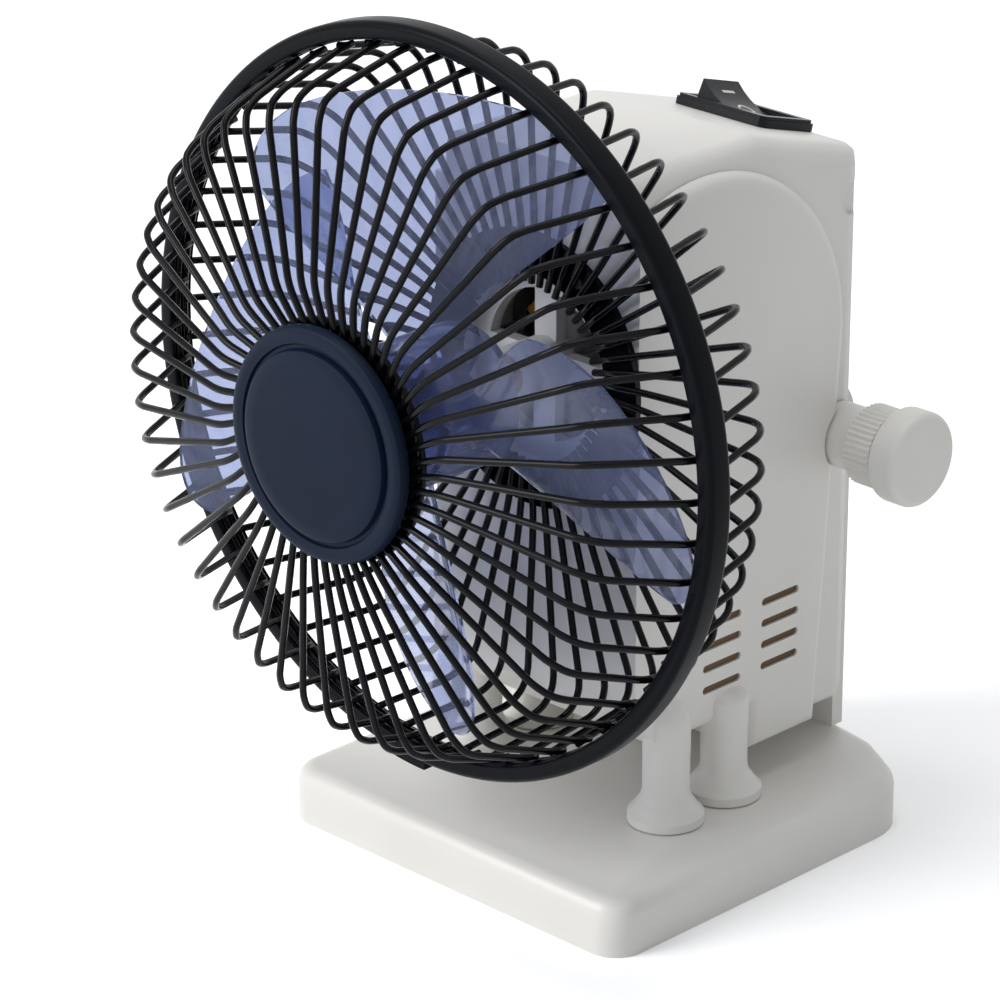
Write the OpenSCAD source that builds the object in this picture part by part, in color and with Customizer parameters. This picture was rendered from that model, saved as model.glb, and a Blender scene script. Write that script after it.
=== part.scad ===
// Mini desk fan: a wire guard and a clear four-bladed fan on a housing that tilts up
// on a rear bracket above a flat base. Millimetres, +Z up, the fan blows towards -Y.
// The origin is on the underside of the base, below the middle of the housing.

/* [Base] */
// Width of the base
base_w = 84.5; // [78:0.5:100]
// Reach of the base ahead of the origin
base_front = 39.7; // [36:0.1:50]
// Reach of the base behind the origin
base_rear = 48; // [47.5:0.5:58]
// Height of the base
base_h = 10.5; // [9:0.5:13]
// Radius of the front corners in plan
base_corner_front = 6; // [4:0.5:9]
// Radius of the rear corners in plan
base_corner_rear = 12; // [8:0.5:14]
// Radius of the bowed rear edge in plan
base_bow = 130; // [90:1:160]
// Rounding of the top edge
base_edge = 3; // [1.5:0.25:3.5]
// Wall of the base moulding
base_wall = 2.2; // [1.8:0.1:3]
// Thickness of the bottom cover
cover_t = 1.8; // [1.4:0.1:2.4]
// Radius of a rubber foot
foot_r = 4.5; // [3.5:0.25:5.5]

/* [Tilt bracket] */
// Distance of the tilt axis behind the origin
pivot_y = 39; // [38:0.25:40]
// Height of the tilt axis
pivot_z = 72; // [66:0.5:76]
// Radius of the bracket's eyes
ear_r = 9; // [7.5:0.25:9.5]
// Thickness of an ear
ear_t = 3.6; // [2.8:0.1:4]
// Half width of the upright web
web_half = 19; // [18.5:0.5:21]
// Thickness of the upright web
web_t = 2.9; // [2.4:0.1:3.4]
// Drop of the web's top edge below the tilt axis
web_drop = 2; // [2:0.5:8]
// Thickness of a friction washer
washer_t = 0.9; // [0.6:0.1:1.2]
// Radius of a friction washer
washer_r = 4.2; // [3.6:0.1:4.4]
// Radius of the clamp bolt
bolt_r = 2; // [1.75:0.05:2.5]
// Width of the cord window in the web
window_w = 12; // [9:0.5:14]
// Height of the cord window in the web
window_h = 14; // [9:0.5:15]
// Height of the cord inlet
cord_z = 46; // [38:0.5:52]
// Radius of the cord inlet
cord_r = 2.8; // [2.2:0.1:3.2]

/* [Housing] */
// Width of the rear cover
case_w = 44; // [42:0.5:50]
// Height of the housing's top
case_top = 133; // [128:1:140]
// Height of the housing's front underside
case_low = 25.7; // [24:0.1:30]
// Height of the deeper rear underside
case_sump = 17; // [14:0.5:20]
// Forward reach of the housing's front wall
case_front = 17; // [15:0.5:20]
// Rearward reach of the housing
case_rear = 44.5; // [44:0.5:50]
// Rearward reach of the housing below the tilt axis
case_back = 43.2; // [42.5:0.1:43.6]
// Height of the sloped front lower edge
case_chamfer = 7.3; // [4:0.1:9]
// Length of the sloped front lower edge
chamfer_l = 7; // [4:0.5:9]
// Place of the crease where the top starts to slope
case_crease = 17; // [12:0.5:22]
// Slope of the rear top in degrees
case_slope = 16; // [10:1:20]
// Wall of the housing mouldings
case_wall = 2.4; // [2:0.1:3]
// Rounding of the housing's long edges
case_edge = 4; // [2:0.25:4]
// Thickness of the side pads
pad_t = 2.7; // [1.8:0.1:3]
// Rounding of the side pads' outer edge
pad_round = 2.4; // [1:0.1:2.5]
// Radius of the round pad over the motor
pod_r = 36; // [33:0.5:38]
// Place of the round pad's centre behind the origin
pod_y = 2; // [0:0.5:3]
// Rear edge of the pad at its foot
pad_rear = 32.5; // [29:0.5:34]
// Height of the fan axis
axis_z = 93.7; // [92:0.1:97]

/* [Vents] */
// Length of a vent slot
vent_l = 10; // [6:0.5:11]
// Height of a vent slot
vent_h = 1.5; // [1:0.1:2.2]
// Distance between vent rows
vent_pitch = 4.2; // [3.2:0.1:5]
// Number of vent rows
vent_rows = 4; // [2:1:5]
// Height of the lowest vent row
vent_low = 33.3; // [32:0.1:36]
// Front end of the first vent column
vent_y = 0.8; // [-2:0.2:3]
// Distance between vent columns
vent_step = 15.5; // [13:0.5:16]

/* [Legs] */
// Radius of a leg
leg_r = 4.3; // [3.5:0.1:4.5]
// Radius of a leg's flared foot
leg_foot_r = 7; // [5.5:0.25:7.5]
// Sideways place of the legs
leg_x = 23.7; // [22.8:0.1:24.5]
// Place of the front legs ahead of the origin
leg_front = 7.4; // [5:0.2:9]
// Place of the rear legs behind the origin
leg_rear = 8; // [7:0.2:8.4]

/* [Switch] */
// Length of the switch bezel
bezel_l = 21.6; // [20:0.2:24]
// Width of the switch bezel
bezel_w = 15; // [13.5:0.5:15.5]
// Height of the bezel's frame
bezel_t = 2; // [1.4:0.1:2.4]
// Width of the bezel's frame
bezel_rim = 1.7; // [1.3:0.1:2.2]
// Depth of the switch body below the panel
switch_d = 11; // [9:0.5:13]
// Tilt of the rocker to each side in degrees
rocker_tilt = 14; // [9:1:15]
// Height of the rocker's ends above its axis
rocker_end = 3.6; // [2.6:0.1:4]

/* [Knob] */
// Radius of the knob's head
knob_r = 8.9; // [8.5:0.1:10]
// Radius of the knob's neck
knob_neck_r = 6; // [5:0.1:6.4]
// Reach of the knob from the bracket
knob_l = 20.4; // [18:0.2:24]
// Thickness of the knob's head
knob_head_t = 6.5; // [5:0.1:8]
// Radius of the knob's knurled collar
knob_collar_r = 7.6; // [7:0.1:8.2]
// Length of the knob's knurled collar
knob_collar_l = 5.8; // [4:0.2:7]
// Number of knurls
knurls = 44; // [30:2:60]

/* [Guard] */
// Outside radius of the trim ring
ring_r = 67.5; // [66:0.5:75]
// Width of the trim ring
ring_w = 5.4; // [5.2:0.1:8]
// Width of the trim ring's front lip
lip_w = 3.3; // [2.9:0.05:3.4]
// Number of wires in each basket
wires = 54; // [40:2:60]
// Radius of a wire
wire_r = 0.65; // [0.5:0.05:0.8]
// Distance from the trim ring's outside in to the front wires' turn
front_inset = 10.3; // [9:0.1:15]
// Depth from the front turn back to the trim ring
front_depth = 15.2; // [12:0.2:18]
// Rise of the front wires from their turn to the centre
front_rise = 6.2; // [4:0.1:7]
// Twist of the wires between their turn and the trim ring in degrees
side_twist = 3; // [0:0.5:4]
// Swirl of the front wires at the centre in degrees
front_swirl = 7; // [0:1:10]
// Radius of the front centre ring
hub_ring_r = 20.5; // [19.5:0.1:22]
// Distance from the trim ring's outside in to the rear wires' turn
rear_inset = 8.5; // [7.5:0.1:13.5]
// Depth from the trim ring back to the rear turn
rear_depth = 16.6; // [15:0.2:22]
// Rise of the rear wires from the plate to their turn
rear_rise = 4.4; // [2:0.1:5]
// Outside radius of the rear centre plate
plate_r = 25.5; // [24.5:0.25:27]
// Opening radius of the rear centre plate
plate_bore = 18; // [16:0.25:18.5]
// Thickness of the rear centre plate
plate_t = 1.2; // [0.8:0.1:1.6]

/* [Badge] */
// Radius of the badge
badge_r = 20.9; // [19.5:0.1:24]
// Thickness of the badge's rim
badge_t = 2.45; // [2:0.05:3.2]
// Rise of the badge's middle above its rim
badge_rise = 0.8; // [0.2:0.1:1.2]
// Radius of the raised middle of the badge
badge_mid_r = 17; // [12:0.2:17.4]

/* [Blade] */
// Distance from the trim ring's outside in to the blade tips
tip_inset = 11; // [10.5:0.5:17]
// Number of blades
blades = 4; // [3:1:5]
// Width of a blade in degrees
blade_span = 76; // [50:1:80]
// Front-to-back depth of the blades
blade_depth = 26; // [18:0.5:27]
// Thickness of a blade
blade_t = 1.5; // [1.2:0.1:2.2]
// Radius of the blade hub
blade_hub_r = 13; // [11:0.5:14]
// Length of the blade hub
blade_hub_l = 17; // [15:0.5:20]

/* [Motor] */
// Radius of the shaft
shaft_r = 1.6; // [1.4:0.1:2]
// Radius of the rotor core
rotor_r = 7.5; // [6:0.25:10.5]
// Length of the lamination stack
stack_l = 13; // [10:0.5:14]
// Gap between the motor and the housing's side walls
motor_gap = 1.2; // [1:0.1:2]
// Thickness of the stator's outer ring
yoke_t = 3; // [2.8:0.1:3.2]
// Height of a winding along its pole
coil_h = 2.4; // [1.6:0.1:4]
// Radius of a bearing bush
bush_r = 3.2; // [2.8:0.1:4]
// Length of a bearing bush
bush_l = 6; // [5:0.5:8]

/* [Fits] */
// Radial clearance of a running fit
run_fit = 0.05; // [0.03:0.01:0.1]
// Gap between pieces that move past each other
gap = 0.3; // [0.25:0.05:0.4]
// Gap between fixed pieces that seat together
seat = 0.1; // [0.05:0.05:0.15]
// Radius of the small screws
screw_r = 1.25; // [1:0.05:1.4]
// Radius of the small screw heads
screw_head_r = 2.4; // [2.1:0.1:2.8]

/* [Hidden] */
$fn = 64;
eps = 0.01;
layer = 0.1;

// Base
base_top_t = base_wall;
base_side_end = 30;
bow_half = 28;
boss_r = screw_r + 2;
base_boss = [[1, -base_front + 11], [-1, -base_front + 11], [1, base_side_end], [-1, base_side_end]];
boss_x = base_w / 2 - base_corner_rear;
foot_place = [[1, -base_front + 20], [-1, -base_front + 20], [1, base_side_end - 9], [-1, base_side_end - 9]];
foot_x = boss_x;
foot_t = cover_t / 2;
screw_head_t = 1.1;

// Bracket and clamp
case_half = case_w / 2;
ear_out = case_half - case_wall - washer_t - gap;
ear_in = ear_out - ear_t;
web_y = case_back + gap;
web_top = pivot_z - web_drop;
web_screw_x = 12;
nut_t = 2.6;
web_screw_r = 0.9;
web_head_r = 1.5;
web_screw_z = 5;
web_grip = 9;
bolt_grip = 12;

// Housing
pad_out = case_half + seat + pad_t;
front_in = case_front - case_wall;
step_z = pivot_z + ear_r + 2;
sump_y = leg_rear + leg_r + 1.7;
rear_top = case_top - (case_rear - case_crease) * tan(case_slope);
cover_bolt = [[1, case_top - 13], [-1, case_top - 13], [1, case_sump + 23], [-1, case_sump + 23]];
cover_bolt_x = case_half - case_wall - boss_r - seat;
pocket_d = 8;
notch_r = 3.2;

// Guard, measured forward along the fan axis
touch = 0.03;
wire_sides = 6;
plate_f = case_front + seat + plate_t;
rear_wire_f = plate_f + wire_r + touch;
rear_turn_f = rear_wire_f + rear_rise;
ring_back_f = rear_turn_f + rear_depth;
ring_front_f = ring_back_f + ring_w;
ring_wall = 1.5;
lip_t = 1.2;
back_t = 0.8;
lip_r = ring_r - lip_w;
front_turn_r = ring_r - front_inset;
rear_turn_r = ring_r - rear_inset;
hoop_r = (ring_w - lip_t - back_t - 4 * seat) / 4;
hub_wire_r = 1;
hoop_mid = ring_r - ring_wall - hoop_r - 0.45;
hoop_in = hoop_mid - hoop_r - wire_r - touch;
front_hoop_f = ring_front_f - lip_t - hoop_r - seat;
rear_hoop_f = ring_back_f + back_t + hoop_r + seat;
front_turn_f = ring_front_f + front_depth;
hub_f = front_turn_f + front_rise;
badge_f = hub_f + wire_r + gap;
plate_screw_r = (plate_r + plate_bore) / 2;
plate_screws = [60, 120, 240, 300];
badge_plate_t = 1.4;
badge_plate_f = hub_f - wire_r - seat - 0.1 - badge_plate_t;

// Fan and motor, measured forward along the fan axis
blade_r = ring_r - tip_inset;
blade_mid_f = ring_back_f + 1.5;
hub_back_f = blade_mid_f - blade_hub_l / 2 + 1;
blade_first = 94;
blade_rows = 9;
blade_cols = 12;
nose_f = case_front + 6;
motor_front_f = front_in - 2.6;
stack_front_f = motor_front_f - 8;
stack_back_f = stack_front_f - stack_l;
motor_back_f = stack_back_f - 8;
stator_r = case_half - case_wall - motor_gap;
yoke_r = stator_r - yoke_t;
bracket_t = 2.5;
rotor_over = 1.5;
tie_r = 1.2;
tie_place = (stator_r + yoke_r) / 2;
pole_w = 6.4;
shoe_r = rotor_r + gap + 1.8;
coil_t = 3.4;

// Switch
switch_y = case_rear - bezel_w / 2 - 0.6;
switch_z = case_top - (switch_y - case_crease) * tan(case_slope);
panel_l = bezel_l - 2 * 1.1;
panel_w = bezel_w - 2 * 1.1;
well_l = bezel_l - 2 * bezel_rim;
well_w = bezel_w - 2 * bezel_rim - 1.2;
rocker_l = well_l - 2 * (gap + 0.8);
rocker_w = well_w - 2 * gap;
rocker_pin_r = 0.9;
rocker_lift = bezel_t - 0.4;

// Puts children on the fan axis: their z runs forward, their y runs up.
module on_axis() {
    translate([0, 0, axis_z]) rotate([90, 0, 0]) children();
}

// Extrudes a (Y, Z) outline along X from x0 to x1.
module across(x0, x1) {
    translate([x0, 0, 0]) rotate([90, 0, 90]) linear_extrude(x1 - x0) children();
}

// Puts children on the tilt axis, their z along +X.
module on_pivot() {
    translate([0, pivot_y, pivot_z]) rotate([0, 90, 0]) children();
}

// Puts children on the sloping top, their z square to it.
module on_slope() {
    translate([0, switch_y, switch_z]) rotate([-case_slope, 0, 0]) children();
}

// A rounded rectangle centred on the origin.
module soft_square(l, w, r) {
    square([l - 2 * r, w], center = true);
    square([l, w - 2 * r], center = true);
    for (x = [-1, 1], y = [-1, 1]) translate([x * (l / 2 - r), y * (w / 2 - r)]) circle(r);
}

// A round-ended slot along x, starting at the origin.
module slot(l, w) {
    translate([w / 2, -w / 2]) square([l - w, w]);
    for (x = [w / 2, l - w / 2]) translate([x, 0]) circle(d = w);
}

// A small screw with its head up: the head's underside is at z = 0.
module screw(l) {
    difference() {
        cylinder(r = screw_head_r, h = screw_head_t);
        translate([-screw_head_r * 0.6, -0.3, screw_head_t - 0.5]) cube([screw_head_r * 1.2, 0.6, 1]);
        translate([-0.3, -screw_head_r * 0.6, screw_head_t - 0.5]) cube([0.6, screw_head_r * 1.2, 1]);
    }
    translate([0, 0, -l]) cylinder(r = screw_r, h = l + eps);
}

// Base

// Outline of the base in plan, drawn in by inset.
module base_plan(inset) {
    hull() {
        for (s = [-1, 1]) {
            translate([s * (base_w / 2 - base_corner_front), base_corner_front - base_front])
                circle(base_corner_front - inset, $fn = 32);
            translate([s * (base_w / 2 - base_corner_rear), base_side_end])
                circle(base_corner_rear - inset, $fn = 32);
        }
        intersection() {
            translate([0, base_rear - base_bow]) circle(base_bow - inset, $fn = 144);
            translate([-bow_half, base_side_end]) square([2 * bow_half, base_rear]);
        }
    }
}

// The solid base with its rounded top edge.
module base_body() {
    hull() {
        linear_extrude(base_h - base_edge) base_plan(0);
        for (a = [30, 60, 90])
            translate([0, 0, base_h - base_edge * (1 - sin(a)) - layer])
                linear_extrude(layer) base_plan(base_edge * (1 - cos(a)));
    }
}

module base_plate() {
    color("ivory") difference() {
        union() {
            difference() {
                base_body();
                translate([0, 0, -1]) linear_extrude(base_h - base_top_t + 1) base_plan(base_wall);
            }
            for (p = base_boss) translate([p[0] * boss_x, p[1], cover_t + seat])
                cylinder(r = boss_r, h = base_h - base_top_t - cover_t);
            for (s = [-1, 1]) translate([s * web_screw_x, web_y + web_t / 2 - 1, web_screw_z])
                cylinder(r = boss_r, h = base_h - base_top_t - web_screw_z + seat);
        }
        for (p = base_boss) translate([p[0] * boss_x, p[1], 0])
            cylinder(r = screw_r + run_fit, h = base_h - base_top_t);
        for (s = [-1, 1]) translate([s * web_screw_x, web_y + web_t / 2, 0]) {
            cylinder(r = web_screw_r + run_fit, h = base_h + 1);
            cylinder(r = web_head_r + seat, h = web_screw_z);
        }
    }
}

module base_cover() {
    color("gainsboro") difference() {
        linear_extrude(cover_t) base_plan(base_wall + seat);
        for (p = base_boss) translate([p[0] * boss_x, p[1], -1]) {
            cylinder(r = screw_r + run_fit, h = cover_t + 2);
            cylinder(r = screw_head_r + seat, h = 1 + screw_head_t);
        }
        for (p = foot_place) translate([p[0] * foot_x, p[1], -1])
            cylinder(r = foot_r + seat, h = 1 + foot_t);
    }
}

module rubber_feet() {
    color("dimgray") for (p = foot_place) translate([p[0] * foot_x, p[1], 0])
        cylinder(r = foot_r, h = foot_t);
}

module cover_screws() {
    color("silver") for (p = base_boss)
        translate([p[0] * boss_x, p[1], screw_head_t]) mirror([0, 0, 1])
            screw(base_h - base_top_t - screw_head_t - 1);
}

// Tilt bracket

// An upright web with two ears that reach forward into the housing.
module tilt_bracket() {
    color("ivory") difference() {
        union() {
            translate([-web_half, web_y, base_h]) cube([2 * web_half, web_t, web_top - base_h]);
            for (s = [0, 1]) mirror([s, 0, 0]) across(ear_in, ear_out) {
                translate([pivot_y, pivot_z]) circle(ear_r);
                translate([pivot_y, pivot_z - ear_r]) square([web_y + web_t - pivot_y, ear_r - web_drop]);
            }
        }
        on_pivot() cylinder(r = bolt_r + run_fit, h = 2 * case_w, center = true);
        translate([0, web_y - 1, cord_z]) rotate([-90, 0, 0])
            linear_extrude(web_t + 2) soft_square(window_w, window_h, 3);
        for (s = [-1, 1]) translate([s * web_screw_x, web_y + web_t / 2, base_h - 1])
            cylinder(r = web_screw_r + run_fit, h = web_grip + 2);
    }
}

module bracket_screws() {
    color("silver") for (s = [-1, 1])
        translate([s * web_screw_x, web_y + web_t / 2, web_screw_z - seat / 2]) mirror([0, 0, 1]) {
            difference() {
                cylinder(r = web_head_r, h = screw_head_t);
                translate([-1, -0.25, screw_head_t - 0.5]) cube([2, 0.5, 1]);
            }
            translate([0, 0, web_screw_z - base_h - web_grip])
                cylinder(r = web_screw_r, h = base_h + web_grip - web_screw_z + eps);
        }
}

module friction_washers() {
    color("dimgray") for (s = [-1, 1]) on_pivot()
        translate([0, 0, s * (ear_out + gap / 2 + washer_t / 2)]) difference() {
            cylinder(r = washer_r, h = washer_t, center = true);
            cylinder(r = bolt_r + run_fit, h = 2 * washer_t, center = true);
        }
}

module pivot_nut() {
    color("silver") on_pivot() translate([0, 0, -case_half - nut_t - seat]) difference() {
        cylinder(r = bolt_r * 2, h = nut_t, $fn = 6);
        translate([0, 0, -1]) cylinder(r = bolt_r + run_fit, h = nut_t + 2);
    }
}

module clamp_bolt() {
    tail = case_half + nut_t + 1.5;
    color("silver") on_pivot() translate([0, 0, -tail])
        cylinder(r = bolt_r, h = tail + case_half + bolt_grip);
}

// A disc with fine teeth round its rim.
module knurl(r, depth) {
    polygon([for (i = [0:2 * knurls - 1])
        (r - (i % 2) * depth) * [cos(180 * i / knurls), sin(180 * i / knurls)]]);
}

module tilt_knob() {
    head_z = knob_l - knob_head_t;
    collar_z = head_z - knob_collar_l - 0.5;
    rim = 1.6;
    color("whitesmoke") on_pivot() translate([0, 0, case_half + gap]) difference() {
        union() {
            cylinder(r = knob_neck_r, h = collar_z + eps);
            translate([0, 0, collar_z]) linear_extrude(knob_collar_l) knurl(knob_collar_r, 0.35);
            translate([0, 0, collar_z + knob_collar_l - eps])
                cylinder(r = knob_collar_r - 0.8, h = 0.5 + 2 * eps);
            translate([0, 0, head_z]) rotate_extrude() {
                square([knob_r - rim, knob_head_t]);
                translate([0, rim]) square([knob_r, knob_head_t - 2 * rim]);
                for (z = [rim, knob_head_t - rim]) translate([knob_r - rim, z]) circle(rim);
            }
        }
        translate([0, 0, -1]) cylinder(r = bolt_r + 0.02, h = bolt_grip + 1);
    }
}

// Housing

// Side outline (Y, Z) of the rear cover before its lower steps are cut, drawn in by inset.
module case_side(inset) {
    offset(r = 2, $fn = 32) offset(delta = -2 - inset) polygon([
        [-case_front - 12, case_sump], [case_rear, case_sump], [case_rear, rear_top],
        [case_crease, case_top], [-case_front - 12, case_top]]);
}

// The rear cover's outer form, with all its long edges rounded.
module case_body() {
    difference() {
        hull() for (a = [0, 30, 60, 90]) {
            half = case_half - case_edge * (1 - cos(a));
            across(-half, half) case_side(case_edge * (1 - sin(a)));
        }
        translate([-case_w, -case_front - 50, 0]) cube([2 * case_w, 50 + case_wall + seat, 2 * case_top]);
        translate([-case_w, case_back, 0]) cube([2 * case_w, case_rear, step_z]);
        translate([-case_w, -case_front, 0]) cube([2 * case_w, case_front + sump_y, case_low]);
        front_slope();
    }
}

// What the sloped front lower edge takes away.
module front_slope() {
    across(-case_w, case_w) polygon([[-case_front - 1, case_low - 1],
        [chamfer_l - case_front, case_low - 1], [chamfer_l - case_front, case_low],
        [-case_front, case_low + case_chamfer], [-case_front - 1, case_low + case_chamfer]]);
}

// The hollow inside the rear cover (Y, Z).
module case_hollow() {
    slope_in = chamfer_l - case_front + case_wall / 2;
    polygon([[-case_front, case_low + case_chamfer + case_wall], [slope_in, case_low + case_wall],
        [sump_y + case_wall, case_low + case_wall],
        [sump_y + case_wall, case_sump + case_wall], [case_back - case_wall, case_sump + case_wall],
        [case_back - case_wall, step_z + case_wall], [case_rear - case_wall, step_z + case_wall],
        [case_rear - case_wall, rear_top - case_wall], [case_crease, case_top - case_wall],
        [-case_front, case_top - case_wall]]);
}

// Vent slots through both side walls.
module vents() {
    for (c = [0, 1], r = [0:vent_rows - 1])
        across(-case_w, case_w) translate([vent_y + c * vent_step, vent_low + r * vent_pitch])
            slot(vent_l, vent_h);
}

// A shell screw's boss runs from the front wall to a pocket in the rear wall.
function boss_end(z) = (z > pivot_z ? case_rear : case_back) - 1;

module rear_cover() {
    color("ivory") difference() {
        union() {
            difference() {
                case_body();
                across(-case_half + case_wall, case_half - case_wall) case_hollow();
            }
            for (p = cover_bolt) translate([p[0] * cover_bolt_x, seat - front_in, p[1]]) rotate([-90, 0, 0])
                cylinder(r = boss_r + seat + eps, h = boss_end(p[1]) + front_in - seat);
        }
        on_pivot() cylinder(r = bolt_r + run_fit, h = 2 * case_w, center = true);
        on_pivot() cylinder(r = bolt_r + gap, h = 2 * ear_out, center = true);
        for (s = [0, 1]) mirror([s, 0, 0]) translate([ear_in - gap, pivot_y, pivot_z - ear_r - 0.6])
            cube([case_half - case_wall - ear_in + gap, case_rear, 2 * ear_r + 4]);
        for (p = cover_bolt) translate([p[0] * cover_bolt_x, 0, p[1]]) rotate([-90, 0, 0]) {
            translate([0, 0, -case_front]) cylinder(r = screw_r + run_fit, h = 2 * case_rear);
            translate([0, 0, boss_end(p[1]) - pocket_d]) cylinder(r = screw_head_r + seat, h = 20);
        }
        translate([0, case_back - case_wall - 1, cord_z]) rotate([-90, 0, 0])
            cylinder(r = cord_r + 1 + seat, h = case_wall + 2);
        on_slope() translate([0, 0, -case_wall * 3])
            linear_extrude(case_wall * 6) soft_square(panel_l + 2 * seat, panel_w + 2 * seat, 0.8);
        for (s = [-1, 1]) translate([s * case_half, case_rear - 2.5, rear_top - 9]) rotate([0, 90, 0])
            cylinder(r = notch_r, h = 2.6, center = true);
        vents();
    }
}

// Part of a side pad with a rounded outer edge, from its (Y, Z) outline.
module pad_plate(outline) {
    x0 = case_half + seat;
    hull() for (a = [0, 30, 60, 90]) across(x0, x0 + pad_t - pad_round * (1 - sin(a)))
        offset(delta = pad_round * (cos(a) - 1)) polygon(outline);
}

// One side pad, cut off at the housing's front: a round head over a part that tapers to its foot.
module side_pad() {
    taper = (pod_y + pod_r - pad_rear) / (axis_z - case_sump);
    low_rear = pad_rear + taper * (case_low - case_sump);
    lap = 12;
    head_end = 150;
    head = [for (a = [0:6:head_end]) [pod_y + pod_r * cos(a), axis_z + pod_r * sin(a)]];
    difference() {
        union() {
            pad_plate(concat([[pod_y + pod_r * cos(head_end), case_low], [low_rear, case_low]], head));
            pad_plate([[sump_y, case_sump], [pad_rear, case_sump],
                [low_rear + taper * lap, case_low + lap], [sump_y, case_low + lap]]);
        }
        translate([0, -case_front - 2 * pod_r, 0]) cube([case_w, 2 * pod_r, 2 * case_top]);
        on_pivot() cylinder(r = knob_neck_r + 2 * gap, h = case_w);
    }
}

// A leg under the housing with a stepped, flared foot that stands on the base.
module leg(y) {
    foot_z = base_h + gap;
    translate([leg_x, y, foot_z]) rotate_extrude() polygon([[0, 0], [leg_foot_r, 0], [leg_foot_r, 1.6],
        [leg_foot_r - 0.8, 2.4], [leg_r + 1.2, 3.4], [leg_r + 0.4, 4.4], [leg_r, 6],
        [leg_r, case_low - seat - foot_z], [0, case_low - seat - foot_z]]);
    intersection() {
        translate([leg_x, y, case_low - 1]) cylinder(r = leg_r, h = 5);
        translate([case_half + seat, y - leg_r, case_low - 2]) cube([2 * leg_r, 2 * leg_r, 10]);
    }
}

module front_wall() {
    pad_top = axis_z + sqrt(pow(pod_r, 2) - pow(case_front + pod_y, 2));
    translate([0, -case_front, 0]) rotate([-90, 0, 0]) mirror([0, 1, 0]) linear_extrude(case_wall) {
        hull() {
            for (s = [-1, 1]) translate([s * (case_half - case_edge), case_top - case_edge])
                circle(case_edge, $fn = 32);
            translate([-case_half, case_low]) square([case_w, 1]);
        }
        translate([-pad_out, case_low]) square([2 * pad_out, pad_top - case_low]);
    }
}

module front_shell() {
    color("ivory") difference() {
        union() {
            front_wall();
            for (s = [0, 1]) mirror([s, 0, 0]) {
                side_pad();
                leg(-leg_front);
                leg(leg_rear);
            }
        }
        on_axis() translate([0, 0, front_in - 1]) cylinder(r = plate_bore, h = case_wall + 2);
        on_axis() for (a = plate_screws) rotate(a)
            translate([plate_screw_r, 0, front_in - 1]) cylinder(r = screw_r + run_fit, h = case_wall + 2);
        on_axis() for (s = [-1, 1]) translate([0, s * plate_screw_r, front_in - 1])
            cylinder(r = screw_r + run_fit, h = case_wall - 0.6 + 1);
        for (p = cover_bolt) translate([p[0] * cover_bolt_x, -front_in - 1.6, p[1]]) rotate([-90, 0, 0])
            cylinder(r = screw_r + run_fit, h = 5);
        front_slope();
        vents();
    }
}

module shell_screws() {
    color("silver") for (p = cover_bolt) {
        head_y = boss_end(p[1]) - pocket_d + seat / 2;
        translate([p[0] * cover_bolt_x, head_y, p[1]]) rotate([-90, 0, 0]) screw(head_y + front_in + 1.4);
    }
}

module cord_grommet() {
    color("dimgray") translate([0, case_back - case_wall - 0.8, cord_z]) rotate([-90, 0, 0]) difference() {
        union() {
            cylinder(r = cord_r + 1, h = case_wall + 0.8);
            cylinder(r = cord_r + 2.2, h = 0.7);
        }
        translate([0, 0, -1]) cylinder(r = cord_r, h = case_wall + 3);
    }
}

// Switch

module switch_body() {
    color("black") on_slope() difference() {
        union() {
            translate([0, 0, seat]) linear_extrude(bezel_t - 0.6) soft_square(bezel_l, bezel_w, 1.4);
            translate([0, 0, bezel_t - 0.6 + seat - eps])
                linear_extrude(0.6) soft_square(bezel_l - 0.8, bezel_w - 0.8, 1.1);
            translate([0, 0, -switch_d]) linear_extrude(switch_d + 0.5) soft_square(panel_l, panel_w, 0.6);
        }
        translate([-well_l / 2, -well_w / 2, -switch_d + 2]) cube([well_l, well_w, switch_d + 5]);
        translate([0, 0, rocker_lift - 1.6]) rotate([90, 0, 0])
            cylinder(r = rocker_pin_r + run_fit, h = well_w + 1.2, center = true);
    }
}

// Side outline of the rocker, level: a shallow dip on top and a round keel below.
module rocker_side() {
    half = rocker_l / 2;
    dip = [for (k = [-4:4]) [half * k / 4, rocker_end * (0.42 + 0.58 * pow(k / 4, 2))]];
    polygon(concat(dip, [[half - 0.3, -1], [half * 0.45, -3], [-half * 0.45, -3], [0.3 - half, -1]]));
}

module switch_rocker() {
    color("black") on_slope() translate([0, 0, rocker_lift - 1.6]) rotate([0, rocker_tilt, 0]) {
        translate([0, rocker_w / 2, 0]) rotate([90, 0, 0]) linear_extrude(rocker_w) rocker_side();
        rotate([90, 0, 0]) cylinder(r = rocker_pin_r, h = well_w + 0.8, center = true);
    }
}

module switch_terminals() {
    color("silver") on_slope() for (k = [-1:1]) translate([k * 5.5, 0, -switch_d - 6])
        difference() {
            translate([-0.4, -2.3, 0]) cube([0.8, 4.6, 6 - seat / 2]);
            translate([-1, 0, 2]) rotate([0, 90, 0]) cylinder(r = 0.8, h = 2);
        }
}

// Motor

module stator_core() {
    color("dimgray") on_axis() translate([0, 0, stack_back_f]) difference() {
        linear_extrude(stack_l) {
            difference() {
                circle(stator_r);
                circle(yoke_r);
            }
            difference() {
                for (k = [0:3]) rotate(45 + 90 * k) {
                    translate([rotor_r, -pole_w / 2]) square([yoke_r - rotor_r + 1, pole_w]);
                    intersection() {
                        circle(shoe_r);
                        polygon(2 * shoe_r * [[0, 0], [1, -tan(33)], [1, tan(33)]]);
                    }
                }
                circle(rotor_r + gap);
            }
        }
        for (s = [-1, 1]) translate([s * tie_place, 0, -1])
            cylinder(r = tie_r + run_fit, h = stack_l + 2);
    }
}

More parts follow.
